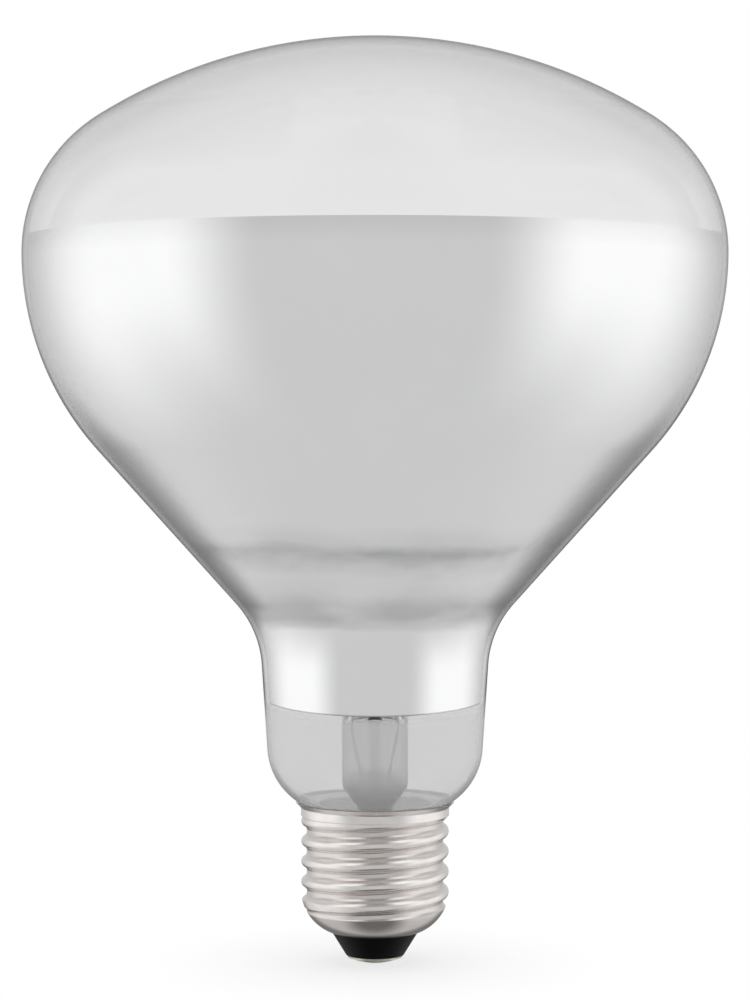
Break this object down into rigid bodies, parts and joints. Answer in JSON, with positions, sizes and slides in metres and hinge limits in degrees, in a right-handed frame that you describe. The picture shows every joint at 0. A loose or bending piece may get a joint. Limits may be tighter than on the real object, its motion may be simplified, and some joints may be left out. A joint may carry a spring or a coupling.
{
  "type": "infrared heat lamp bulb",
  "caption": "Infrared reflector heat lamp with a clear dome, a mirror coated bulb, a clear neck showing the glass stem, and a screw cap with a black glass insulator.",
  "frame": {"origin": "tip of the centre contact, on the lamp's axis", "axes": "+Z along the axis from the cap to the dome, +X along the line of the two lead wires in the press"},
  "size_m": [0.125, 0.125, 0.1644],
  "materials": {
    "clear_glass": "clear and smooth",
    "mirror_film": "bright aluminium film",
    "nickelled_shell": "nickel plated, slightly satin",
    "black_glass": "black and glossy",
    "contact_metal": "dull plated",
    "solder": "dressed, satin",
    "lead_metal": "drawn wire",
    "tungsten": "drawn and coiled",
    "cement": "matt"
  },
  "bodies": {
    "root": {"glass_envelope": "clear_glass", "reflector_coating": "mirror_film", "screw_shell": "nickelled_shell", "insulator": "black_glass", "centre_contact": "contact_metal", "contact_solder": "solder", "basing_cement": "cement", "glass_stem": "clear_glass", "exhaust_tube": "clear_glass", "outer_lead_centre": "lead_metal", "outer_lead_side": "lead_metal", "inner_lead_left": "lead_metal", "inner_lead_right": "lead_metal", "support_rod": "clear_glass", "filament": "tungsten", "filament_support_1": "lead_metal", "filament_support_2": "lead_metal", "filament_support_3": "lead_metal", "filament_support_4": "lead_metal", "filament_support_5": "lead_metal"}
  },
  "joints": []
}
